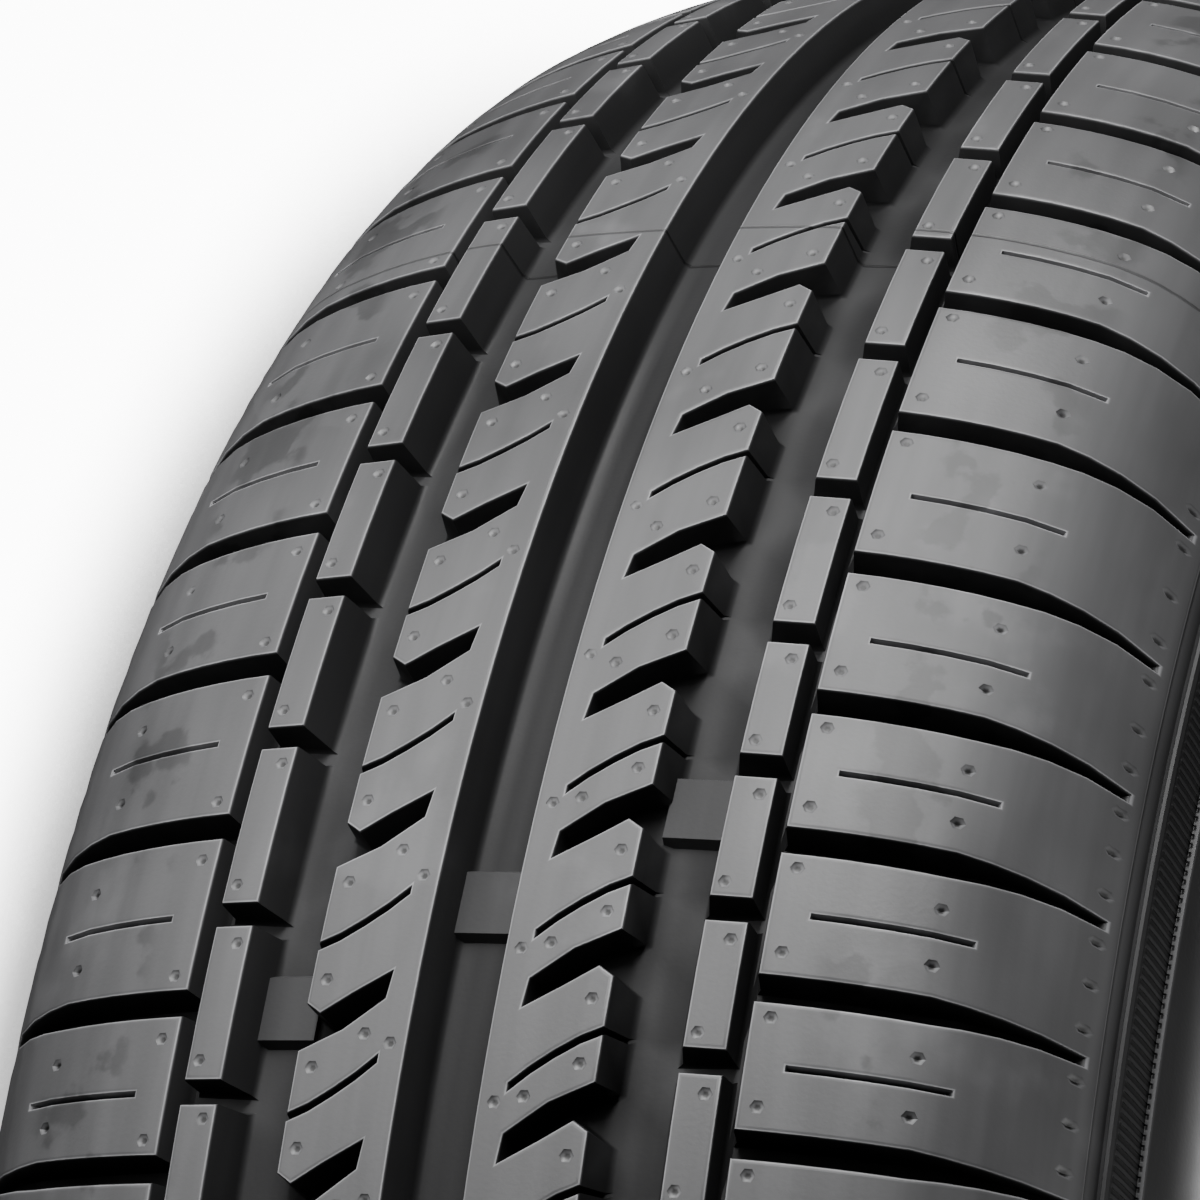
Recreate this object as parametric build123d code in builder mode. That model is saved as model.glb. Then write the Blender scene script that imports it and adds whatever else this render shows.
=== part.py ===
"""A passenger-car tyre, size 185/65 R15, in millimetres.

The wheel axis is Z and the origin is the wheel centre, on the middle plane of the tread. The tyre is one
vulcanised piece: a revolved section with five grooves round it, cut across by three kinds of slot. The tread
looks the same when it is turned end for end, so the slots are laid out for the upper half, and those of the
lower half are the same ones turned over.

Points of the section are (radius, distance from the middle plane). Slopes are in degrees from the wheel axis.
"""

import os
from itertools import accumulate
from math import cos, degrees, radians, sin, tan

from build123d import *

# Crown, with the drop of each rib's top below the middle of the tread
tread_radius = 310.75
narrow_rib_drop = 1.55
shoulder_drop = 2.55
crown_thickness = 15.75
crown_flat_half_width = 40.0

# Ribs, and the grooves round the tread
centre_groove_width = 12.5
centre_rib_width = 17.4
wide_groove_width = 11.75
narrow_rib_width = 6.5
thin_groove_width = 2.55
groove_depth = 7.75
groove_draft = 1.9
thin_groove_depth = 5.2

# Shoulder and sidewall. An arc is its radius and the slope at which it ends.
shoulder_start_slope = 10.3
shoulder_arc = (105.0, 22.0)
shoulder_edge_arc = (38.0, 61.0)
shoulder_thickness = 17.0
buttress_length = 7.0
buttress_thickness = 13.0
sidewall_bulge = 7.1
sidewall_thickness = 7.5

# Bead, for a rim 15 inches across and 5.5 inches wide
bead_seat_radius = 190.1
bead_half_width = 69.85
bead_height = 12.9
bead_width = 16.35
bead_heel_chamfer = 5.5
bead_neck_width = 11.35
flange_hollow_height = 14.0

# Slots across the tread. The centre slot runs in from the wide groove, and leans up the tread on its way out.
lateral_groove_width = 4.0
lateral_groove_start_depth = 4.6
lateral_groove_depth = 7.0
lateral_groove_runout = 0.68
rib_slot_width = 3.6
rib_slot_depth = 5.2
centre_slot_reach = 12.8
centre_slot_lean = 31.0
centre_slot_mouth_width = 5.0
centre_slot_end_width = 4.1
centre_slot_end_drop = 2.65
centre_slot_depth = 5.75
overcut = 4.0

# Pitches round the tread, in four lengths that follow one another unevenly so that the tyre runs quietly
pitch_ratio = {"S": 1.0, "M": 1.2, "L": 1.29, "X": 1.41}
pitch_order = "SSSMLMMLXXLMXLMSSMLXXMLMSSSMLXLMMXXLMMLMSSLMLXXLMLXMSXSMLMXXLMLMXLMS"
upper_half_start = -1.035
lower_half_turn = 148.73


def arc_from(start, start_slope, arc):
    """Start, middle and end of an arc that leaves a point at a slope."""
    radius, end_slope = arc
    centre = (start[0] - radius * cos(radians(start_slope)), start[1] - radius * sin(radians(start_slope)))
    points = []
    for slope in (start_slope, (start_slope + end_slope) / 2, end_slope):
        points.append((centre[0] + radius * cos(radians(slope)), centre[1] + radius * sin(radians(slope))))
    return points


def below(point, slope, thickness):
    """The point that lies a thickness inside the surface, where the surface has that slope."""
    return (point[0] - thickness * cos(radians(slope)), point[1] - thickness * sin(radians(slope)))


def between(start, end, share):
    """The point at a share of the way from one point to another."""
    return (start[0] + (end[0] - start[0]) * share, start[1] + (end[1] - start[1]) * share)


def both_halves(angles):
    """Places round the axis for the upper half's slots, and the same turned over for the lower half."""
    upper = [Location((0, 0, 0), (0, 0, angle)) for angle in angles]
    turned_over = Location((0, 0, 0), (0, 0, lower_half_turn)) * Location((0, 0, 0), (180, 0, 0))
    return upper + [turned_over * place for place in upper]


# Pitch angles: the lateral grooves and centre slots lie in the middle of a pitch, the rib slots at its end
full_turn = 360.0
pitch_unit = full_turn / sum(pitch_ratio[letter] for letter in pitch_order)
pitch_angles = [pitch_unit * pitch_ratio[letter] for letter in pitch_order]
pitch_ends = list(accumulate(pitch_angles))
pitch_end_angles = [upper_half_start - end for end in pitch_ends]
pitch_middle_angles = [upper_half_start - end + angle / 2 for end, angle in zip(pitch_ends, pitch_angles)]

# Rib edges, from the middle plane outwards, and the radii of the tread
centre_rib_inner = centre_groove_width / 2
centre_rib_outer = centre_rib_inner + centre_rib_width
narrow_rib_inner = centre_rib_outer + wide_groove_width
narrow_rib_outer = narrow_rib_inner + narrow_rib_width
thin_groove_middle = narrow_rib_outer + thin_groove_width / 2
shoulder_inner = narrow_rib_outer + thin_groove_width
groove_floor_radius = tread_radius - groove_depth
narrow_rib_radius = tread_radius - narrow_rib_drop
shoulder_radius = tread_radius - shoulder_drop
cut_radius = tread_radius + overcut

# Outer section from the shoulder blocks to the bead
shoulder = arc_from((shoulder_radius, shoulder_inner), shoulder_start_slope, shoulder_arc)
shoulder_edge = arc_from(shoulder[-1], shoulder_arc[1], shoulder_edge_arc)
shoulder_end = shoulder_edge[-1]
buttress_slope = shoulder_edge_arc[1]
buttress_end = (
    shoulder_end[0] - buttress_length * sin(radians(buttress_slope)),
    shoulder_end[1] + buttress_length * cos(radians(buttress_slope)),
)
bead_top_radius = bead_seat_radius + bead_height
sidewall_foot = (bead_top_radius + flange_hollow_height, buttress_end[1])
widest = ((buttress_end[0] + sidewall_foot[0]) / 2, buttress_end[1] + sidewall_bulge)

# Inner section, set in from the outer one by the thickness of the rubber
inner_crown_radius = tread_radius - crown_thickness
inner_shoulder = below(shoulder[-1], shoulder_arc[1], shoulder_thickness)
inner_buttress = below(buttress_end, buttress_slope, buttress_thickness)
inner_widest = (widest[0], widest[1] - sidewall_thickness)
inner_foot = below(sidewall_foot, full_turn / 2 - buttress_slope, sidewall_thickness)
bead_neck = (bead_top_radius, bead_half_width - bead_neck_width)

with BuildPart() as lateral_groove:
    groove_runout = between(shoulder_end, buttress_end, lateral_groove_runout)
    lateral_groove_angle = degrees(lateral_groove_width / shoulder_radius)
    with BuildSketch(Plane.XZ):
        with BuildLine():
            Polyline(
                (shoulder_radius - lateral_groove_start_depth, thin_groove_middle),
                (shoulder[-1][0] - lateral_groove_depth, shoulder[-1][1]),
                groove_runout,
                (cut_radius, groove_runout[1]),
                (cut_radius, thin_groove_middle),
                close=True,
            )
        make_face()
    revolve(axis=Axis.Z, revolution_arc=lateral_groove_angle)

with BuildPart() as rib_slot:
    rib_slot_floor_radius = narrow_rib_radius - rib_slot_depth
    rib_slot_start = narrow_rib_inner - overcut
    rib_slot_angle = degrees(rib_slot_width / narrow_rib_radius)
    with BuildSketch(Plane.XZ):
        with BuildLine():
            Polyline(
                (rib_slot_floor_radius, rib_slot_start),
                (cut_radius, rib_slot_start),
                (cut_radius, thin_groove_middle),
                (rib_slot_floor_radius, thin_groove_middle),
                close=True,
            )
        make_face()
    revolve(axis=Axis.Z, revolution_arc=rib_slot_angle)

with BuildPart() as centre_slot:
    slot_floor = Plane(origin=(tread_radius - centre_slot_depth, 0, 0), x_dir=(0, 0, 1), z_dir=(1, 0, 0))
    slot_mouth = centre_rib_outer + groove_draft
    slot_end = centre_rib_outer - centre_slot_reach
    mouth_rise = (slot_mouth - slot_end) * tan(radians(centre_slot_lean)) - centre_slot_end_drop
    with BuildSketch(slot_floor):
        with BuildLine():
            Polyline(
                (slot_mouth, mouth_rise + centre_slot_mouth_width / 2),
                (slot_end, -centre_slot_end_drop + centre_slot_end_width / 2),
                (slot_end, -centre_slot_end_drop - centre_slot_end_width / 2),
                (slot_mouth, mouth_rise - centre_slot_mouth_width / 2),
                close=True,
            )
        make_face()
    extrude(amount=centre_slot_depth + overcut)

with BuildPart() as tyre:
    with BuildSketch(Plane.XZ):
        with BuildLine():
            Polyline(
                (inner_crown_radius, 0.0),
                (groove_floor_radius, 0.0),
                (groove_floor_radius, centre_rib_inner - groove_draft),
                (tread_radius, centre_rib_inner),
                (tread_radius, centre_rib_outer),
                (groove_floor_radius, centre_rib_outer + groove_draft),
                (groove_floor_radius, narrow_rib_inner - groove_draft),
                (narrow_rib_radius, narrow_rib_inner),
                (narrow_rib_radius, narrow_rib_outer),
                (shoulder_radius - thin_groove_depth, thin_groove_middle),
                (shoulder_radius, shoulder_inner),
            )
            ThreePointArc(*shoulder)
            ThreePointArc(*shoulder_edge)
            Line(shoulder_end, buttress_end)
            ThreePointArc(buttress_end, widest, sidewall_foot)
            Polyline(
                sidewall_foot,
                (bead_top_radius, bead_half_width),
                (bead_seat_radius + bead_heel_chamfer, bead_half_width),
                (bead_seat_radius, bead_half_width - bead_heel_chamfer),
                (bead_seat_radius, bead_half_width - bead_width),
                bead_neck,
                inner_foot,
                inner_widest,
                inner_buttress,
                inner_shoulder,
                (inner_crown_radius, crown_flat_half_width),
                (inner_crown_radius, 0.0),
            )
        make_face()
        mirror(about=Plane.XZ)
    revolve(axis=Axis.Z)
    with Locations(*both_halves([angle - lateral_groove_angle / 2 for angle in pitch_middle_angles])):
        add(lateral_groove.part, mode=Mode.SUBTRACT)
    with Locations(*both_halves([angle - rib_slot_angle / 2 for angle in pitch_end_angles])):
        add(rib_slot.part, mode=Mode.SUBTRACT)
    with Locations(*both_halves(pitch_middle_angles)):
        add(centre_slot.part, mode=Mode.SUBTRACT)

os.makedirs("parts", exist_ok=True)
tyre.part.label = "tyre"
export_step(tyre.part, "parts/tyre.step")
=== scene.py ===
"""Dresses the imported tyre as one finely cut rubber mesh, with a pale floor, soft light and a camera.

Lengths are in millimetres until the mesh is made. A place on the tread is (w, u), where w is the distance
from the middle plane and u the distance up the tread from a lateral groove. Depth is measured along the
surface's normal.
"""

from collections import namedtuple
from itertools import accumulate
from math import asin, cos, degrees, pi, radians, sin

import bmesh
import bpy
import numpy as np
from mathutils import Matrix, Vector
from mathutils.geometry import delaunay_2d_cdt


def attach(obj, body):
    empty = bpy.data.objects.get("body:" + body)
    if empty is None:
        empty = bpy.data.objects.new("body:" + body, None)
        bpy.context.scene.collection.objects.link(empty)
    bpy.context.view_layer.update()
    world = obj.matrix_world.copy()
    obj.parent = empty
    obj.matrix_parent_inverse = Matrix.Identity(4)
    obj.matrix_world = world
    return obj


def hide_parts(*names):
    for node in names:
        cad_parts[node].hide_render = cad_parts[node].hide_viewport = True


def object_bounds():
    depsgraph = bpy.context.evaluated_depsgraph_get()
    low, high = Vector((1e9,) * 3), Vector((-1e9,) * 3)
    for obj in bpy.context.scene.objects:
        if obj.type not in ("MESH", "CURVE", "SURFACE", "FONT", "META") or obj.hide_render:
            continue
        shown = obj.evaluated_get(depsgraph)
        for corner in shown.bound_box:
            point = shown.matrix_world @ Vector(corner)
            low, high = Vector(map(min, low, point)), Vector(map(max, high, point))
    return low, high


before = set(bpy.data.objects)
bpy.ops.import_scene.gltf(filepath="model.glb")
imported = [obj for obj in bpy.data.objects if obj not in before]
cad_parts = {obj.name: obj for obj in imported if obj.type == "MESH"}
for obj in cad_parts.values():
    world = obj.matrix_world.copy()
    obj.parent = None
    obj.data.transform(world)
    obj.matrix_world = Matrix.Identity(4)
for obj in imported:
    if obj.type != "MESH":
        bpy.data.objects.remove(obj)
cad_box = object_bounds()

# Outer section. An arc is its radius and the slope at which it ends.
tread_radius = 310.75
crown_arc = (400.0, 5.0)
shoulder_arc = (105.0, 22.0)
shoulder_edge_arc = (38.0, 61.0)
buttress_length = 7.0
sidewall_bulge = 6.0
sidewall_foot_radius = 217.0
slope_step = 2.5

# Bead and inside
bead_top_radius = 203.0
bead_half_width = 69.85
bead_seat_radius = 190.1
bead_heel_radius = 5.5
bead_toe_half_width = 53.5
bead_toe_bevel = (1.0, 0.4)
flange_shares = (0.3, 0.6, 0.85)
inner_corners = (
    (203.0, 58.5),
    (220.6, 80.8),
    (248.2, 87.0),
    (273.1, 76.0),
    (286.5, 58.7),
    (295.0, 40.0),
    (295.0, 0.0),
)
ring_steps = 180

# Pitches round the tread
pitch_ratio = {"S": 1.0, "M": 1.2, "L": 1.29, "X": 1.41}
pitch_order = "SSSMLMMLXXLMXLMSSMLXXMLMSSSMLXLMMXXLMMLMSSLMLXXLMLXMSXSMLMXXLMLMXLMS"
upper_half_start = -1.035
lower_half_turn = 148.73

# Lines of the pattern
strip_start = 1.0
strip_end = 88.2
cell_start = -6.2
centre_groove_edge = 6.25
wide_groove_edges = (23.65, 35.4)
thin_groove_edges = (41.9, 44.45)
rib_slot_half_width = 1.8
lateral_groove_half_width = 2.0
lateral_groove_tip_half_width = 0.65
lateral_groove_taper_start = 68.0
lateral_groove_end = 85.4
lateral_groove_full_depth_end = 66.0
lateral_groove_tip_depth = 1.4
centre_slot = (
    (23.65, 0.4),
    (21.1, 2.0),
    (16.5, -1.1),
    (10.7, -4.7),
    (11.1, -0.6),
    (17.0, 4.2),
    (23.65, 7.6),
)

# Rim where the shoulder blocks end: its lines' distance from the middle plane, depth and painted highlight
shoulder_rim = ((86.6, 0.0, 0.0), (86.85, 0.12, 1.0), (87.05, 0.55, 0.0), (strip_end, 0.55, 0.0))

# Points that fill the blocks' tops, and how far they keep from the voids and from every line
filling_rows = (12.0, 17.0, 21.0, 38.65, 47.5, 52.0, 57.0, 62.0, 66.5, 70.5, 74.0, 77.2, 80.2, 82.8, 85.0)
along_spacing = 8.0
across_spacing = 4.5
void_margin = 0.5
line_clearance = 1.2
straight_limit = 0.05
border_tolerance = 1e-3

# Rounded edges of the blocks: how far into the void, how deep, how strong a painted highlight and how strong
# a painted shade each line carries
edge_levels = ((-0.7, 0.0, 0.0, 0.0), (-0.2, 0.12, 1.0, 0.0), (0.0, 0.5, 0.0, 0.7))

# Voids: their depth, how far the wall's foot and the floor lie from the block's edge, and how much painted
# shade darkens them
Void = namedtuple("Void", "depth foot floor darkness")
voids = {
    "groove": Void(7.2, 1.5, 2.5, 0.74),
    "thin": Void(5.6, 0.4, 0.95, 0.75),
    "slot": Void(5.6, 0.3, 0.9, 1.0),
    "rib_slot": Void(5.0, 0.25, 0.8, 0.65),
    "lateral": Void(6.3, 0.3, 0.8, 1.0),
    "sipe": Void(4.0, 0.08, 0.2, 1.0),
}
foot_rise = 0.8
least_foot_share = 0.6
# Painted shade on the groove walls: how much the wall's foot is darkened
wall_painted_shade = 0.85

# Sipes and vent marks
sipe_half_width = 0.5
sipe_line = ((0.0, 0.0), (3.4, -1.6), (6.9, -3.9), (10.2, -6.4), (13.05, -9.0))
sipe_offset = 6.0
sipe_margin = 1.7
sipe_rim = 1.0
sipe_lip_depth = 0.1
shoulder_sipe = (50.3, 72.3)
shoulder_sipe_depth = 3.2
vent_corners = 6
vent_radius = 1.1
vent_depth = 0.8
vent_margin = 1.3

# Wear bars across the grooves: the groove's walls, and the bar's angle in the first of the sets
wear_bars = ((-5.3, 5.3, -5.7), (24.6, 34.4, -8.75), (-34.4, -24.6, -2.5))
wear_bar_sets = 6
wear_bar_depth = 5.6
wear_bar_root = 0.4
wear_bar_length = 10.0
wear_bar_slope = 1.2
# Painted shade on the wear bars, as on the groove floors
wear_bar_painted_shade = 0.62

# Sidewall: ridges round it, and plain raised pads on its serrated band
sidewall_top_radius = 276.9
sidewall_ridges = (276.2, 238.0, 229.0)
ridge_half_width = 0.8
ridge_height = 0.45
pad_count = 12
pad_radius = 256.0
pad_half_size = (13.0, 54.0)
pad_corner = 7.0
pad_height = 0.9
pad_root = 0.3
pad_bevel = 0.42
pad_rim = 1.6
pad_start = -6.0
pad_clearance = 1.5
pad_filling_margin = 6.0
pad_filling_columns = 13

# Rubber: tones multiply the colour, and a pair of tones spans a noise
rubber_tones = (0.048, 0.066)
streak_tones = (0.88, 1.12)
residue_tone = 1.3
smudge_tone = 0.62
# Painted shade: the voids' colour is darkened where shade would fall
painted_void_shade_tone = 0.1
# Painted highlight: rounded block edges, sipe lips, the shoulder rim and the pad bevels are lightened
painted_edge_highlight_tone = 3.0
# Painted highlight round each vent pit, and painted shade in the pit
painted_vent_ring_highlight_tone = 1.4
painted_vent_pit_shade_tone = 0.15
joint_tone = 0.45
tooth_tone = 0.35
# Painted shade: the sidewall's colour is darkened
sidewall_painted_shade_tone = 0.34
blue_share = 1.03
rubber_roughness = (0.46, 0.58)
rubber_gloss = 0.5
# Gloss is turned down in the voids so that they stay dark, part of their painted shade
void_gloss = 0.05
sidewall_gloss_share = 0.3
grain_height = 0.02
tooth_height = 0.35
joint_height = 0.2

# Marks on the rubber: a band fades between two distances, in metres, from the middle plane or wheel axis
smudge_start = (0.050, 0.056)
smudge_end = (0.066, 0.073)
sidewall_start = (0.0855, 0.0880)
serration_inner = (0.2395, 0.2400)
serration_outer = (0.2745, 0.2750)
serration_start = (0.0885, 0.0890)
serration_teeth = 1080.0
serration_slant = 900.0
mould_segments = 9
mould_joint_angle = 30.43
streak_length_share = 0.09

# Studio: lights have a place, target and size in metres, and a power in watts
floor_reach = 12.0
# Painted shadow: how far from the tyre the floor's glow is dimmed
floor_painted_shadow_distance = 0.045
floor_glow = (0.6, 12.0)
world_strength = 0.05
studio_lights = {
    "key": ((1.75, -1.75, 0.16), (0.285, -0.10, 0.0), (1.8, 0.4), 106.0),
    "floor_bounce": ((0.54, -0.16, -0.09), (0.40, -0.12, 0.1), (0.35, 0.35), 1.5),
    "back_fill": ((-2.0, -0.6, 0.30), (-0.2, 0.0, 0.0), (1.2, 0.5), 60.0),
    "side_fill": ((-0.7, 2.0, 0.30), (0.0, 0.2, 0.0), (1.2, 0.5), 60.0),
    "overhead": ((-0.9, 0.5, 1.9), (-0.1, 0.0, 0.0), (1.2, 1.2), 30.0),
}

sharp_angle = 40.0
merge_distance = 0.002
millimetre = 0.001


def arc_rows(start, start_slope, radius, end_slope):
    """Points along an arc, after its start, as radius, half-width and slope."""
    count = max(4, round((end_slope - start_slope) / slope_step))
    slopes = np.linspace(start_slope, end_slope, count + 1)
    turns = np.radians(slopes)
    centre = (start[0] - radius * cos(turns[0]), start[1] - radius * sin(turns[0]))
    rows = np.column_stack((centre[0] + radius * np.cos(turns), centre[1] + radius * np.sin(turns), slopes))
    return rows[1:]


def crown_profile():
    """The outer section from the crown to the end of the buttress, as radius, half-width and slope."""
    rows = [np.array([(tread_radius, 0.0, 0.0)])]
    for radius, end_slope in (crown_arc, shoulder_arc, shoulder_edge_arc):
        start = rows[-1][-1]
        rows.append(arc_rows(start[:2], start[2], radius, end_slope))
    radius, half_width, slope = rows[-1][-1]
    turn = radians(slope)
    rows.append([(radius - buttress_length * sin(turn), half_width + buttress_length * cos(turn), slope)])
    return np.vstack(rows)


def sidewall_profile(start):
    """The sidewall's arc, which stands out by the bulge between the buttress and the foot."""
    half_chord = (start[0] - sidewall_foot_radius) / 2
    radius = (half_chord**2 + sidewall_bulge**2) / (2 * sidewall_bulge)
    spread = degrees(asin(half_chord / radius))
    return arc_rows(start[:2], 90 - spread, radius, 90 + spread)


crown = crown_profile()
sidewall = sidewall_profile(crown[-1])
rising = np.vstack((crown, sidewall[: np.argmax(sidewall[:, 1]) + 1]))
falling = np.vstack((crown[-1:], sidewall))[::-1]


def slope_on_tread(w):
    """Slope of the tread in radians, from the wheel axis."""
    return np.radians(np.interp(w, rising[:, 1], rising[:, 2]))


def on_tread(w, depth):
    """Radius and half-width of points at a depth below the tread."""
    radius = np.interp(w, rising[:, 1], rising[:, 0])
    slope = slope_on_tread(w)
    return radius - depth * np.cos(slope), w - depth * np.sin(slope)


def on_sidewall(radius, height):
    """Radius and half-width of points at a height above the sidewall."""
    half_width = np.interp(radius, falling[:, 0], falling[:, 1])
    slope = np.radians(np.interp(radius, falling[:, 0], falling[:, 2]))
    return radius + height * np.cos(slope), half_width + height * np.sin(slope)


def lateral_depth(w):
    """Depth of a lateral groove, which runs out on the buttress."""
    ends = (lateral_groove_full_depth_end, lateral_groove_end)
    return float(np.interp(w, ends, (voids["lateral"].depth, lateral_groove_tip_depth)))


def lateral_half_width(w):
    """Half the width of a lateral groove, which narrows towards its tip."""
    ends = (lateral_groove_taper_start, lateral_groove_end)
    return float(np.interp(w, ends, (lateral_groove_half_width, lateral_groove_tip_half_width)))


def void_depth(kind, w):
    """Depth of a void of a kind, at a distance from the middle plane."""
    return lateral_depth(w) if kind == "lateral" else voids[kind].depth


def divided(corners, kinds):
    """A path with points added so that no run is long, and each run's kind."""
    points = [corners[0]]
    run_kinds = []
    for start, end, kind in zip(corners[:-1], corners[1:], kinds):
        spacing = along_spacing if start[0] == end[0] else across_spacing
        count = max(1, round(float(np.hypot(end[0] - start[0], end[1] - start[1])) / spacing))
        for step in range(1, count + 1):
            share = step / count
            points.append((start[0] + (end[0] - start[0]) * share, start[1] + (end[1] - start[1]) * share))
            run_kinds.append(kind)
    return np.array(points), run_kinds


def shifted(points, shifts):
    """The path moved to its right, each run by its own shift."""
    runs = np.diff(points, axis=0)
    normals = np.column_stack((runs[:, 1], -runs[:, 0])) / np.linalg.norm(runs, axis=1)[:, None]
    moved = [points[0] + normals[0] * shifts[0]]
    for index in range(1, len(points) - 1):
        before, after = normals[index - 1], normals[index]
        straight = abs(before[0] * after[1] - before[1] * after[0]) < straight_limit
        if straight:
            middle = (before + after) / np.linalg.norm(before + after)
            moved.append(points[index] + middle * (shifts[index - 1] + shifts[index]) / 2)
        else:
            sides = np.array((before, after))
            move = np.linalg.solve(sides, np.array((shifts[index - 1], shifts[index])))
            moved.append(points[index] + move)
    moved.append(points[-1] + normals[-1] * shifts[-1])
    return np.array(moved)


class Plan:
    """Points and lines of a patch of surface, before it is filled with triangles.

    Each point has a depth, and says how strong a painted highlight its edge carries, how strong a painted
    shade its void carries, and how near a vent's middle it is.
    """

    def __init__(self):
        self.points = []
        self.marks = []
        self.lines = []

    def add_points(self, points, depths, edge=0.0, void=0.0, vent=0.0):
        first = len(self.points)
        self.points.extend((float(w), float(u)) for w, u in points)
        self.marks.extend((float(depth), edge, void, vent) for depth in depths)
        return first

    def add_line(self, points, depths, edge=0.0, void=0.0, closed=False):
        first = self.add_points(points, depths, edge, void)
        count = len(points)
        self.lines.extend((first + step, first + step + 1) for step in range(count - 1))
        if closed:
            self.lines.append((first + count - 1, first))

    def add_void_edge(self, corners, kinds):
        """Rounds a block's edge and drops its wall to the floor, with the void on the path's right."""
        points, run_kinds = divided(corners, kinds)
        deepest = []
        darkest = []
        for index, point in enumerate(points):
            beside = run_kinds[max(0, index - 1) : index + 1]
            deepest.append(max(void_depth(kind, point[0]) for kind in beside))
            darkest.append(min(voids[kind].darkness for kind in beside))
        deepest = np.array(deepest)
        # Lines of the rounded edge, with a painted highlight on its middle line and painted shade where the
        # wall starts
        for shift, depth, painted_highlight, darkness in edge_levels:
            line = shifted(points, [shift] * len(run_kinds))
            self.add_line(line, [depth] * len(points), edge=painted_highlight, void=darkness)
        ease = []
        for index, kind in enumerate(run_kinds):
            narrowest = lateral_half_width(points[index : index + 2, 0].max()) / lateral_groove_half_width
            ease.append(narrowest if kind == "lateral" else 1.0)
        feet = [voids[kind].foot * share for kind, share in zip(run_kinds, ease)]
        floors = [voids[kind].floor * share for kind, share in zip(run_kinds, ease)]
        foot_depths = np.maximum(deepest - foot_rise, least_foot_share * deepest)
        # The wall's foot and the floor carry painted shade.
        self.add_line(shifted(points, feet), foot_depths, void=wall_painted_shade)
        first = len(self.marks)
        self.add_line(shifted(points, floors), deepest)
        for offset, darkness in enumerate(darkest):
            self.marks[first + offset] = (float(deepest[offset]), 0.0, darkness, 0.0)

    def add_closed_sipe(self, centre_line):
        """A blade cut inside a block: its rim, its lips with a painted highlight, and its bottom with
        painted shade.
        """
        centre_line = np.array(centre_line, float)
        runs = len(centre_line) - 1
        run = (centre_line[-1] - centre_line[0]) / np.linalg.norm(centre_line[-1] - centre_line[0])
        for reach, depth, painted_highlight in ((sipe_rim, 0.0, 0.0), (sipe_half_width, sipe_lip_depth, 1.0)):
            longer = centre_line.copy()
            longer[0] -= run * (reach - sipe_half_width)
            longer[-1] += run * (reach - sipe_half_width)
            right = shifted(longer, [reach] * runs)
            left = shifted(longer, [-reach] * runs)
            rim = np.vstack((right, left[::-1]))
            self.add_line(rim, [depth] * len(rim), edge=painted_highlight, closed=True)
        bottom = centre_line.copy()
        bottom[0] += run * sipe_half_width
        bottom[-1] -= run * sipe_half_width
        self.add_line(bottom, [shoulder_sipe_depth] * len(bottom), void=1.0)

    def add_vent(self, w, u):
        """A trimmed mould vent: a small pit."""
        turns = [2 * pi * corner / vent_corners for corner in range(vent_corners)]
        corners = [(w + vent_radius * cos(turn), u + vent_radius * sin(turn)) for turn in turns]
        self.add_line(corners, [0.0] * vent_corners, closed=True)
        # The vent mark at the pit's middle becomes, in the material, painted shade in the pit and a painted
        # highlight round it.
        self.add_points([(w, u)], [vent_depth], vent=1.0)

    def add_filling(self, candidates, clearance, depth=0.0):
        """Points on the surface, where they are clear of every line."""
        ends = np.array(self.points)
        starts = ends[[line[0] for line in self.lines]]
        runs = ends[[line[1] for line in self.lines]] - starts
        lengths = np.maximum((runs**2).sum(1), 1e-9)
        for point in candidates:
            share = np.clip(((point - starts) * runs).sum(1) / lengths, 0, 1)
            nearest = np.linalg.norm(starts + runs * share[:, None] - point, axis=1).min()
            if nearest > clearance:
                self.add_points([point], [depth])

    def filled(self, borders=()):
        """Places, marks and triangles. A border is an axis and a value, and no triangle lies flat on it."""
        _, _, faces, sources, _, _ = delaunay_2d_cdt(self.points, self.lines, [], 0, 1e-4)
        places = np.array([self.points[source[0]] for source in sources])
        marks = np.array([self.marks[source[0]] for source in sources])
        kept = []
        for face in faces:
            corners = places[list(face)]
            if not any(np.abs(corners[:, axis] - value).max() < border_tolerance for axis, value in borders):
                kept.append(tuple(face))
        return places, marks, np.array(kept)


def inside(point, polygon):
    """Whether a point lies in a polygon."""
    w, u = point
    crossings = False
    for (w0, u0), (w1, u1) in zip(polygon, polygon[1:] + polygon[:1]):
        if (u0 > u) != (u1 > u) and w < (w1 - w0) * (u - u0) / (u1 - u0) + w0:
            crossings = not crossings
    return crossings


def plan_ribs(plan, slot_u, mouth, cell_end):
    """Edges of the centre rib, with its slot and open sipe, and of the narrow rib, with its slot."""
    plan.add_void_edge(((centre_groove_edge, cell_end), (centre_groove_edge, cell_start)), ("groove",))
    rib_edge = wide_groove_edges[0]
    lower_lip = [(rib_edge - inward, mouth + rise - sipe_half_width) for inward, rise in sipe_line]
    upper_lip = [(rib_edge - inward, mouth + rise + sipe_half_width) for inward, rise in sipe_line[::-1]]
    sipe_runs = len(lower_lip) + len(upper_lip) - 1
    slot_runs = len(centre_slot) - 1
    plan.add_void_edge(
        ((rib_edge, cell_start), *centre_slot, *lower_lip, *upper_lip, (rib_edge, cell_end)),
        ("groove", *["slot"] * slot_runs, "groove", *["sipe"] * sipe_runs, "groove"),
    )
    inner, outer = wide_groove_edges[1], thin_groove_edges[0]
    low, high = slot_u - rib_slot_half_width, slot_u + rib_slot_half_width
    plan.add_void_edge(
        ((outer, cell_start), (outer, low), (inner, low), (inner, cell_start)),
        ("thin", "rib_slot", "groove"),
    )
    plan.add_void_edge(
        ((inner, cell_end), (inner, high), (outer, high), (outer, cell_end)),
        ("groove", "rib_slot", "thin"),
    )


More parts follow.
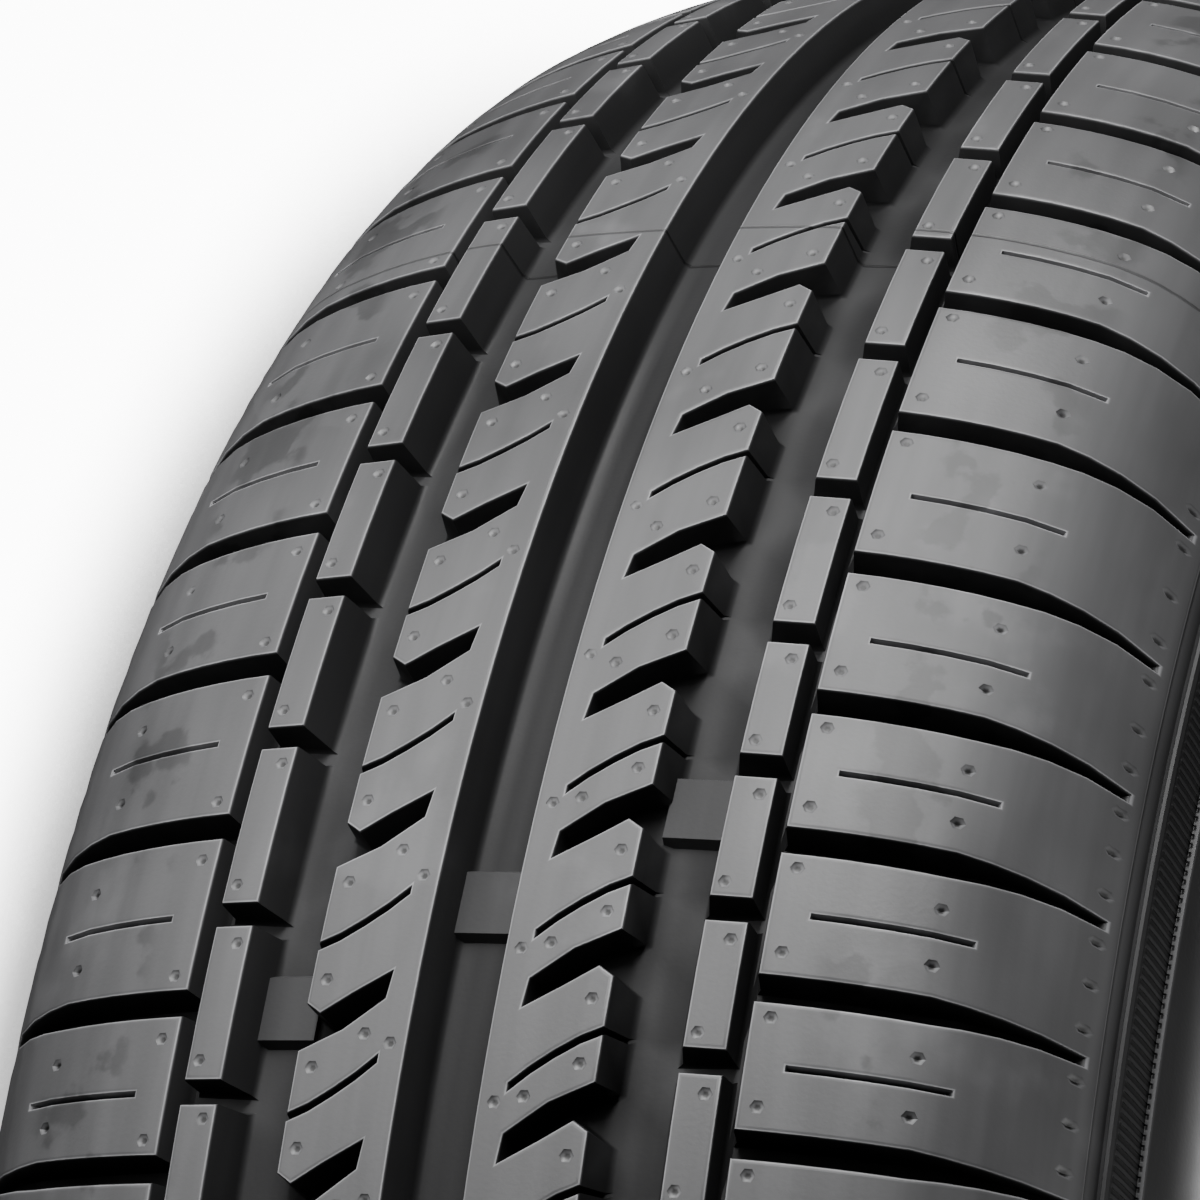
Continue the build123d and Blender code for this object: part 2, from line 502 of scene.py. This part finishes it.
def plan_shoulder(plan, slot_u, cell_end):
    """Edges of the shoulder blocks round a lateral groove, and their sipe."""
    edge = thin_groove_edges[1]
    full, tip = lateral_groove_half_width, lateral_groove_tip_half_width
    plan.add_void_edge(
        (
            (edge, cell_end),
            (edge, full),
            (lateral_groove_taper_start, full),
            (lateral_groove_end, tip),
            (lateral_groove_end, -tip),
            (lateral_groove_taper_start, -full),
            (edge, -full),
            (edge, cell_start),
        ),
        ("thin", "lateral", "lateral", "lateral", "lateral", "lateral", "thin"),
    )
    plan.add_closed_sipe([(w, slot_u) for w in np.linspace(*shoulder_sipe, 5)])


def vent_places(slot_u, mouth, length):
    """Where the mould vents lie in a cell."""
    last = cell_start + length - vent_margin
    shoulder = [
        (47.3, 5.6),
        (47.3, -4.4),
        (67.4, (slot_u + 2.0) / 2),
        (67.4, min(0.59 * length + 0.41 * slot_u - 1.2, last)),
        (84.9, 4.9),
        (84.9, slot_u + 0.8),
        (84.9, -3.6),
    ]
    narrow_rib = [
        (39.8, slot_u - rib_slot_half_width - 3.0),
        (37.4, min(slot_u + rib_slot_half_width + 3.0, last)),
    ]
    centre_rib = [(8.9, mouth - 11.4), (20.8, 10.2), (13.2, 5.0), (21.0, -3.3)]
    return shoulder + narrow_rib + centre_rib


def in_void(w, u, slot_u):
    """Whether a place lies in, or close beside, a slot across the tread."""
    across_lateral = thin_groove_edges[1] < w < lateral_groove_end
    in_lateral = across_lateral and abs(u) < lateral_half_width(w) + void_margin
    across_rib = wide_groove_edges[1] < w < thin_groove_edges[0]
    in_rib_slot = across_rib and abs(u - slot_u) < rib_slot_half_width + void_margin
    return in_lateral or in_rib_slot or inside((w, u), centre_slot)


def plan_cell(pitch, next_pitch):
    """One cell of the upper half, from just below a lateral groove to just below the next one."""
    length = (pitch + next_pitch) / 2
    cell_end = cell_start + length
    slot_u = pitch / 2
    mouth = min(length / 2 + sipe_offset, cell_end - sipe_margin)
    plan = Plan()
    plan_ribs(plan, slot_u, mouth, cell_end)
    plan_shoulder(plan, slot_u, cell_end)
    for w, u in vent_places(slot_u, mouth, length):
        plan.add_vent(w, u)
    steps = max(2, round(length / along_spacing))
    along = [cell_start + length * step / steps for step in range(steps + 1)]
    floor = voids["groove"]
    # The groove's floor strip carries painted shade.
    plan.add_line([(strip_start, u) for u in along], [floor.depth] * len(along), void=floor.darkness)
    # The shoulder rim's middle line carries a painted highlight.
    for w, depth, painted_highlight in shoulder_rim:
        plan.add_line([(w, u) for u in along], [depth] * len(along), edge=painted_highlight)
    for w in filling_rows:
        plan.add_points([(w, cell_start), (w, cell_end)], [0.0, 0.0])
    candidates = []
    for row, w in enumerate(filling_rows):
        stagger = 0.75 if row % 2 else 0.25
        for step in range(steps):
            u = cell_start + length * (step + stagger) / steps
            if not in_void(w, u, slot_u):
                candidates.append(np.array((w, u)))
    plan.add_filling(candidates, line_clearance)
    borders = ((1, cell_start), (1, cell_end), (0, strip_start), (0, strip_end))
    return plan.filled(borders)


pitch_unit = 360.0 / sum(pitch_ratio[letter] for letter in pitch_order)
pitch_angles = [pitch_unit * pitch_ratio[letter] for letter in pitch_order]
pitch_ends = list(accumulate(pitch_angles))
pitch_middles = [upper_half_start - end + angle / 2 for end, angle in zip(pitch_ends, pitch_angles)]


class Gathered:
    """Vertices and faces gathered from many patches, with each vertex's marks and tread normal."""

    def __init__(self):
        self.vertices = []
        self.marks = []
        self.normals = []
        self.faces = []
        self.count = 0

    def add(self, vertices, faces, marks=None, normals=None):
        first = self.count
        size = len(vertices)
        self.vertices.append(vertices)
        self.marks.append(np.zeros((size, 4)) if marks is None else marks)
        self.normals.append(np.zeros((size, 3)) if normals is None else normals)
        self.faces.extend(tuple(int(corner) + first for corner in face) for face in faces)
        self.count += size
        return first


def turned(radius, half_width, angle):
    """Points at a radius, height and angle about the wheel axis."""
    return np.column_stack((radius * np.cos(angle), radius * np.sin(angle), half_width))


def add_tread(mesh):
    """Both halves of the tread. Returns each half's inner and outer rims, as points' (angle, index)."""
    cells = {}
    rims = {}
    unit = radians(pitch_unit) * tread_radius
    for half in (1, -1):
        inner_rim, outer_rim = [], []
        for index, letter in enumerate(pitch_order):
            next_letter = pitch_order[(index + 1) % len(pitch_order)]
            pair = letter + next_letter
            if pair not in cells:
                cells[pair] = plan_cell(unit * pitch_ratio[letter], unit * pitch_ratio[next_letter])
            places, marks, faces = cells[pair]
            radius, half_width = on_tread(places[:, 0], marks[:, 0])
            angle = radians(pitch_middles[index]) - places[:, 1] / tread_radius
            if half < 0:
                angle = radians(lower_half_turn) - angle
            slope = slope_on_tread(places[:, 0])
            normals = turned(np.cos(slope), half * np.sin(slope), angle) * (marks[:, :1] == 0.0)
            first = mesh.add(turned(radius, half * half_width, angle), faces, marks, normals)
            for rim, w in ((inner_rim, strip_start), (outer_rim, strip_end)):
                on_rim = np.flatnonzero(np.abs(places[:, 0] - w) < 1e-6)
                rim.extend((float(angle[point]) % (2 * pi), first + int(point)) for point in on_rim)
        rims[half] = (inner_rim, outer_rim)
    return rims


def zip_rims(mesh, lower, upper):
    """Triangles between two rims of points round the axis, the upper one nearer +Z."""
    lower = sorted(lower)
    upper = sorted(upper)
    lower.append((lower[0][0] + 2 * pi, lower[0][1]))
    upper.append((upper[0][0] + 2 * pi, upper[0][1]))
    low = high = 0
    while low < len(lower) - 1 or high < len(upper) - 1:
        upper_done = high == len(upper) - 1
        lower_done = low == len(lower) - 1
        if upper_done or (not lower_done and lower[low + 1][0] <= upper[high + 1][0]):
            mesh.faces.append((lower[low][1], lower[low + 1][1], upper[high][1]))
            low += 1
        else:
            mesh.faces.append((lower[low][1], upper[high + 1][1], upper[high][1]))
            high += 1


def sidewall_section():
    """Points down the sidewall, with its ridges."""
    rows = [(sidewall_top_radius, 0.0)]
    for radius in sidewall[:, 0]:
        nearest_ridge = min(abs(radius - ridge) for ridge in sidewall_ridges)
        if radius < sidewall_top_radius and nearest_ridge > 2 * ridge_half_width:
            rows.append((radius, 0.0))
    for ridge in sidewall_ridges:
        half = ridge_half_width
        rows.extend(((ridge + half, 0.0), (ridge + half / 2, ridge_height)))
        rows.extend(((ridge - half / 2, ridge_height), (ridge - half, 0.0)))
    rows.sort(reverse=True)
    return [tuple(float(value) for value in on_sidewall(radius, height)) for radius, height in rows]


def bead_section():
    """Points from the sidewall's foot round the bead's heel to its toe."""
    foot = sidewall[-1]
    points = []
    for share in flange_shares:
        radius = foot[0] + (bead_top_radius - foot[0]) * share
        points.append((radius, foot[1] + (bead_half_width - foot[1]) * share))
    points.append((bead_top_radius - 1.0, bead_half_width))
    heel = (bead_seat_radius + bead_heel_radius, bead_half_width - bead_heel_radius)
    for turn in np.linspace(0, pi / 2, 6):
        points.append((heel[0] - bead_heel_radius * sin(turn), heel[1] + bead_heel_radius * cos(turn)))
    rise, bevel = bead_toe_bevel
    points.append((bead_seat_radius, bead_toe_half_width + rise))
    points.append((bead_seat_radius + rise, bead_toe_half_width + bevel))
    return points


def inner_section():
    """Points from the bead's neck to the middle of the inside, on a curve that rounds the corners."""
    corners = np.array(inner_corners)
    points = [tuple(corners[0])]
    for before, here, after in zip(corners[:-2], corners[1:-1], corners[2:]):
        start = (before + here) / 2
        end = (here + after) / 2
        for share in np.linspace(0.0, 1.0, 5):
            points.append(tuple((1 - share) ** 2 * start + 2 * share * (1 - share) * here + share**2 * end))
    points.append(tuple(corners[-1]))
    return points


def add_carcass(mesh, rims):
    """Sidewalls, beads and inside, as rings of quads joined to the tread's outer rims."""
    section = np.array(sidewall_section() + bead_section() + inner_section())
    angles = np.arange(ring_steps) * 2 * pi / ring_steps
    last = {}
    for half in (1, -1):
        rings = [turned(np.full(ring_steps, r), np.full(ring_steps, half * w), angles) for r, w in section]
        if half < 0:
            rings = rings[:-1]
        first = mesh.add(np.vstack(rings), [])
        top_ring = [(float(angle), first + step) for step, angle in enumerate(angles)]
        if half > 0:
            zip_rims(mesh, rims[half][1], top_ring)
        else:
            zip_rims(mesh, top_ring, rims[half][1])
        for row in range(len(rings) - 1):
            for step in range(ring_steps):
                a = first + row * ring_steps + step
                b = first + row * ring_steps + (step + 1) % ring_steps
                quad = (a, b, b + ring_steps, a + ring_steps)
                mesh.faces.append(quad if half > 0 else quad[::-1])
        last[half] = first + (len(rings) - 1) * ring_steps
    for step in range(ring_steps):
        after = (step + 1) % ring_steps
        mesh.faces.append((last[1] + step, last[1] + after, last[-1] + after, last[-1] + step))


def add_wear_bars(mesh):
    """Low bars across the grooves, with sloping ends."""
    for bar_set in range(wear_bar_sets):
        for start, end, angle in wear_bars:
            middle = radians(angle + bar_set * 360.0 / wear_bar_sets)
            corners = []
            for depth, half_length in (
                (voids["groove"].depth + wear_bar_root, wear_bar_length / 2 + wear_bar_slope),
                (wear_bar_depth, wear_bar_length / 2),
            ):
                for w, side in ((start, -1), (end, -1), (end, 1), (start, 1)):
                    radius, half_width = on_tread(abs(w), depth)
                    turn = middle + side * half_length / tread_radius
                    corners.append((radius * cos(turn), radius * sin(turn), np.sign(w) * half_width))
            sides = [(k, (k + 1) % 4, (k + 1) % 4 + 4, k + 4) for k in range(4)]
            faces = [tuple(face[::-1]) for face in sides] + [(7, 6, 5, 4), (0, 1, 2, 3)]
            # Painted shade on the wear bars, as on the groove floors.
            marks = np.tile((wear_bar_depth, 0.0, wear_bar_painted_shade, 0.0), (8, 1))
            mesh.add(np.array(corners), faces, marks)


def pad_outline(inset):
    """A rounded rectangle in (radius, length round the sidewall), with points along its long sides."""
    half_width = pad_half_size[0] - inset
    half_length = pad_half_size[1] - inset
    corner = pad_corner - inset
    points = []
    for quarter, (side, end) in enumerate(((1, 1), (-1, 1), (-1, -1), (1, -1))):
        centre = (pad_radius + side * (half_width - corner), end * (half_length - corner))
        for turn in np.linspace(0, pi / 2, 5) + quarter * pi / 2:
            points.append((centre[0] + corner * cos(turn), centre[1] + corner * sin(turn)))
    steps = round(2 * half_length / along_spacing)
    between = [(half_length - corner) * (1 - 2 * step / steps) for step in range(1, steps)]
    left = [(pad_radius - half_width, along) for along in between]
    right = [(pad_radius + half_width, -along) for along in between]
    return points[:10] + left + points[10:] + right


def add_pads(mesh):
    """Plain raised pads on both sidewalls."""
    plan = Plan()
    # The pads' bevel line carries a painted highlight.
    levels = ((0.0, -pad_root, 0.0), (pad_bevel, pad_height, 1.0), (pad_rim, pad_height, 0.0))
    for inset, height, painted_highlight in levels:
        outline = pad_outline(inset)
        plan.add_line(outline, [-height] * len(outline), edge=painted_highlight, closed=True)
    rows = [pad_radius + share * pad_half_size[0] for share in (-0.5, 0.0, 0.5)]
    reach = pad_half_size[1] - pad_filling_margin
    columns = np.linspace(-reach, reach, pad_filling_columns)
    candidates = [np.array((row, column)) for row in rows for column in columns]
    plan.add_filling(candidates, pad_clearance, -pad_height)
    places, marks, faces = plan.filled()
    radius, half_width = on_sidewall(places[:, 0], -marks[:, 0])
    for half in (1, -1):
        for pad in range(pad_count):
            middle = radians(pad_start + pad * 360.0 / pad_count)
            angle = middle + half * places[:, 1] / pad_radius
            mesh.add(turned(radius, half * half_width, angle), faces[:, ::-1], marks)


def tread_normals(data):
    """Sets the true normal on faces that lie on the tread's surface. Others keep an automatic one."""
    known = np.zeros(len(data.vertices) * 3)
    data.attributes["tread_normal"].data.foreach_get("vector", known)
    known = known.reshape(-1, 3)
    corner_vertices = np.zeros(len(data.loops), int)
    data.loops.foreach_get("vertex_index", corner_vertices)
    sizes = np.zeros(len(data.polygons), int)
    data.polygons.foreach_get("loop_total", sizes)
    faces = np.repeat(np.arange(len(sizes)), sizes)
    on_surface = np.linalg.norm(known, axis=1)[corner_vertices] > 0.5
    counts = np.bincount(faces, weights=on_surface, minlength=len(sizes))
    whole = (counts == sizes)[faces]
    data.normals_split_custom_set((known[corner_vertices] * whole[:, None]).tolist())
    data.attributes.remove(data.attributes["tread_normal"])


def build_tyre():
    """The tyre's surface as one piece."""
    mesh = Gathered()
    rims = add_tread(mesh)
    zip_rims(mesh, rims[-1][0], rims[1][0])
    add_carcass(mesh, rims)
    add_wear_bars(mesh)
    add_pads(mesh)
    data = bpy.data.meshes.new("tyre_surface")
    data.from_pydata((np.vstack(mesh.vertices) * millimetre).tolist(), [], mesh.faces)
    marks = np.vstack(mesh.marks)
    # Marks for the material: edge carries painted highlights, void painted shade, and vent the painted pit
    # shade and ring highlight.
    for column, name in enumerate(("depth", "edge", "void", "vent")):
        data.attributes.new(name, "FLOAT", "POINT").data.foreach_set("value", marks[:, column])
    normals = np.vstack(mesh.normals).ravel()
    data.attributes.new("tread_normal", "FLOAT_VECTOR", "POINT").data.foreach_set("vector", normals)
    joined = bmesh.new()
    joined.from_mesh(data)
    bmesh.ops.remove_doubles(joined, verts=joined.verts, dist=merge_distance * millimetre)
    joined.to_mesh(data)
    joined.free()
    data.validate()
    data.shade_smooth()
    data.set_sharp_from_angle(angle=radians(sharp_angle))
    tread_normals(data)
    piece = bpy.data.objects.new("tyre_surface", data)
    bpy.context.collection.objects.link(piece)
    return piece


class Shading:
    """Short calls for building a material's nodes."""

    def __init__(self, name):
        self.material = bpy.data.materials.new(name)
        self.material.use_nodes = True
        self.tree = self.material.node_tree
        self.shader = self.tree.nodes["Principled BSDF"]

    def fill(self, socket, value):
        """Links a socket to another node's output, or sets its value."""
        if isinstance(value, bpy.types.NodeSocket):
            self.tree.links.new(value, socket)
        else:
            socket.default_value = value

    def math(self, operation, *values):
        node = self.tree.nodes.new("ShaderNodeMath")
        node.operation = operation
        for socket, value in zip(node.inputs, values):
            self.fill(socket, value)
        return node.outputs[0]

    def product(self, *values):
        result = values[0]
        for value in values[1:]:
            result = self.math("MULTIPLY", result, value)
        return result

    def attribute(self, name):
        node = self.tree.nodes.new("ShaderNodeAttribute")
        node.attribute_name = name
        return node.outputs["Fac"]

    def noise(self, place, scale, detail):
        node = self.tree.nodes.new("ShaderNodeTexNoise")
        self.tree.links.new(place, node.inputs["Vector"])
        node.inputs["Scale"].default_value = scale
        node.inputs["Detail"].default_value = detail
        return node.outputs["Fac"]

    def ramp(self, value, low, high, start=0.0, end=1.0):
        """A smooth step from start to end as the value goes from low to high."""
        node = self.tree.nodes.new("ShaderNodeMapRange")
        node.interpolation_type = "SMOOTHSTEP"
        for name, entry in (("From Min", low), ("From Max", high), ("To Min", start), ("To Max", end)):
            node.inputs[name].default_value = entry
        self.tree.links.new(value, node.inputs["Value"])
        return node.outputs["Result"]

    def tint(self, share, tone):
        """One where the share is 0, and the tone where it is 1."""
        return self.ramp(share, 0.0, 1.0, 1.0, tone)

    def combine(self, x, y, z):
        node = self.tree.nodes.new("ShaderNodeCombineXYZ")
        for socket, value in zip(node.inputs, (x, y, z)):
            self.fill(socket, value)
        return node.outputs[0]


def rubber_material():
    """Satin black tread rubber, with smudges, mould marks and a serrated band on the sidewall, painted shade
    in the voids, in the vent pits and on the sidewall, and painted highlights on block edges and round the
    vents.
    """
    rubber = Shading("tread_rubber")
    coordinates = rubber.tree.nodes.new("ShaderNodeTexCoord").outputs["Object"]
    split = rubber.tree.nodes.new("ShaderNodeSeparateXYZ")
    rubber.tree.links.new(coordinates, split.inputs[0])
    x, y, z = split.outputs
    angle = rubber.math("ARCTAN2", y, x)
    height = rubber.math("ABSOLUTE", z)
    radius = rubber.math("SQRT", rubber.math("ADD", rubber.product(x, x), rubber.product(y, y)))
    along = rubber.math("MULTIPLY", angle, tread_radius * millimetre)
    unrolled = rubber.combine(along, z, radius)
    stretched = rubber.combine(rubber.math("MULTIPLY", along, streak_length_share), z, radius)

    cloud = rubber.noise(coordinates, 22.0, 4.0)
    streak = rubber.noise(stretched, 190.0, 3.0)
    grain = rubber.noise(coordinates, 1400.0, 2.0)
    band = rubber.product(rubber.ramp(height, *smudge_start), rubber.ramp(height, *smudge_end, 1.0, 0.0))
    smudge = rubber.product(band, rubber.ramp(rubber.noise(unrolled, 75.0, 5.0), 0.53, 0.60))
    residue = rubber.ramp(rubber.noise(unrolled, 38.0, 4.0), 0.58, 0.72)

    # Whole turns keep the angle above zero, and half a segment puts each joint in the middle of a period
    segment_angle = 2 * pi / mould_segments
    joint_shift = radians(mould_joint_angle) + 4 * pi + segment_angle / 2
    in_segment = rubber.math("MODULO", rubber.math("ADD", angle, joint_shift), segment_angle)
    from_joint = rubber.math("SUBTRACT", in_segment, segment_angle / 2)
    joint_gap = rubber.math("ABSOLUTE", rubber.math("MULTIPLY", from_joint, tread_radius))
    joint = rubber.ramp(joint_gap, 0.12, 0.45, 1.0, 0.0)

    turn_phase = rubber.product(angle, serration_teeth)
    slant_phase = rubber.product(radius, serration_slant)
    wave = rubber.math("SINE", rubber.math("ADD", turn_phase, slant_phase))
    serrated = rubber.product(
        rubber.ramp(radius, *serration_inner),
        rubber.ramp(radius, *serration_outer, 1.0, 0.0),
        rubber.ramp(height, *serration_start),
        rubber.ramp(rubber.attribute("depth"), -0.5, -0.1),
    )
    tooth = rubber.product(serrated, rubber.ramp(wave, -0.6, 0.6, 1.0, 0.0))

    edge = rubber.attribute("edge")
    void = rubber.attribute("void")
    vent = rubber.attribute("vent")
    # Painted highlight on a ring round each vent pit
    painted_vent_highlight = rubber.product(rubber.ramp(vent, 0.05, 0.3), rubber.ramp(vent, 0.35, 0.55, 1.0, 0.0))
    tone = rubber.product(
        rubber.ramp(cloud, 0.25, 0.75, *rubber_tones),
        rubber.ramp(streak, 0.3, 0.7, *streak_tones),
        rubber.tint(residue, residue_tone),
        rubber.tint(smudge, smudge_tone),
        # Painted shade in the voids
        rubber.tint(void, painted_void_shade_tone),
        # Painted highlight on the rounded edges
        rubber.ramp(edge, 0.4, 0.95, 1.0, painted_edge_highlight_tone),
        # Painted highlight round the vents and painted shade in their pits
        rubber.tint(painted_vent_highlight, painted_vent_ring_highlight_tone),
        rubber.ramp(vent, 0.45, 0.7, 1.0, painted_vent_pit_shade_tone),
        rubber.tint(joint, joint_tone),
        rubber.tint(tooth, tooth_tone),
        # Painted shade on the sidewall
        rubber.ramp(height, *sidewall_start, 1.0, sidewall_painted_shade_tone),
    )
    colour = rubber.tree.nodes.new("ShaderNodeCombineColor")
    rubber.fill(colour.inputs["Red"], tone)
    rubber.fill(colour.inputs["Green"], tone)
    rubber.fill(colour.inputs["Blue"], rubber.math("MULTIPLY", tone, blue_share))
    # Gloss is turned down in the voids, part of their painted shade, and on the sidewall.
    gloss = rubber.product(
        rubber.ramp(void, 0.0, 1.0, rubber_gloss, void_gloss),
        rubber.ramp(height, *sidewall_start, 1.0, sidewall_gloss_share),
    )
    rubber.fill(rubber.shader.inputs["Base Color"], colour.outputs[0])
    rubber.fill(rubber.shader.inputs["Roughness"], rubber.ramp(cloud, 0.3, 0.7, *rubber_roughness))
    rubber.fill(rubber.shader.inputs["Specular IOR Level"], gloss)

    relief = rubber.math("MULTIPLY", grain, grain_height * millimetre)
    for mark, depth in ((tooth, tooth_height), (joint, joint_height)):
        relief = rubber.math("SUBTRACT", relief, rubber.math("MULTIPLY", mark, depth * millimetre))
    bump = rubber.tree.nodes.new("ShaderNodeBump")
    bump.inputs["Distance"].default_value = 1.0
    rubber.fill(bump.inputs["Height"], relief)
    rubber.fill(rubber.shader.inputs["Normal"], bump.outputs[0])
    return rubber.material


def floor_material():
    """Pale studio floor that shines evenly, with a painted soft shadow where something rests on it."""
    floor = Shading("pale_floor")
    floor.shader.inputs["Base Color"].default_value = (0.02, 0.02, 0.02, 1.0)
    floor.shader.inputs["Roughness"].default_value = 1.0
    floor.shader.inputs["Specular IOR Level"].default_value = 0.0
    floor.shader.inputs["Emission Color"].default_value = (1.0, 1.0, 1.0, 1.0)
    # Painted shadow: the glow dims where the floor is hemmed in, near the tyre
    painted_shadow = floor.tree.nodes.new("ShaderNodeAmbientOcclusion")
    painted_shadow.inputs["Distance"].default_value = floor_painted_shadow_distance
    strength = floor.ramp(painted_shadow.outputs["AO"], 0.05, 0.6, *floor_glow)
    floor.fill(floor.shader.inputs["Emission Strength"], strength)
    return floor.material


def add_floor():
    """The floor that the tyre lies on. Its shine is not cast on the tyre."""
    height = cad_box[0][2]
    data = bpy.data.meshes.new("floor")
    sides = ((-1, -1), (1, -1), (1, 1), (-1, 1))
    corners = [(x * floor_reach, y * floor_reach, height) for x, y in sides]
    data.from_pydata(corners, [], [(0, 1, 2, 3)])
    floor = bpy.data.objects.new("floor", data)
    bpy.context.collection.objects.link(floor)
    data.materials.append(floor_material())
    floor.visible_diffuse = False
    floor.visible_glossy = False


def add_area_light(name, place, target, size, power):
    """A soft light that faces a target and is hidden from the camera."""
    data = bpy.data.lights.new(name, "AREA")
    data.shape = "RECTANGLE"
    data.size, data.size_y = size
    data.energy = power
    light = bpy.data.objects.new(name, data)
    bpy.context.collection.objects.link(light)
    light.visible_camera = False
    light.location = place
    light.rotation_euler = (Vector(target) - Vector(place)).to_track_quat("-Z", "Y").to_euler()


def add_lights():
    """Soft light that comes down the tread from the top of the picture, and weaker light on the rest."""
    world = bpy.data.worlds.new("studio")
    bpy.context.scene.world = world
    world.use_nodes = True
    background = world.node_tree.nodes["Background"]
    background.inputs["Color"].default_value = (1.0, 1.0, 1.0, 1.0)
    background.inputs["Strength"].default_value = world_strength
    for name, (place, target, size, power) in studio_lights.items():
        add_area_light(name, place, target, size, power)


def add_camera():
    """The photograph's camera, found from the tread's edges in it."""
    right = (-0.36374963, -0.14944428, 0.91943059)
    down = (-0.3926447, 0.9196716, -0.00585656)
    forward = (-0.84469897, -0.36313987, -0.3932087)
    place = (0.978438, 0.212243, 0.323519)
    data = bpy.data.cameras.new("camera")
    data.sensor_width = 36.0
    data.lens = 162.684
    data.clip_start = 0.01
    camera = bpy.data.objects.new("camera", data)
    bpy.context.collection.objects.link(camera)
    rows = [[right[axis], -down[axis], -forward[axis], place[axis]] for axis in range(3)]
    camera.matrix_world = Matrix([*rows, [0.0, 0.0, 0.0, 1.0]])
    bpy.context.scene.camera = camera


tyre = build_tyre()
tyre.data.materials.append(rubber_material())
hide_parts("tyre")
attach(tyre, "root")
add_floor()
add_lights()
add_camera()
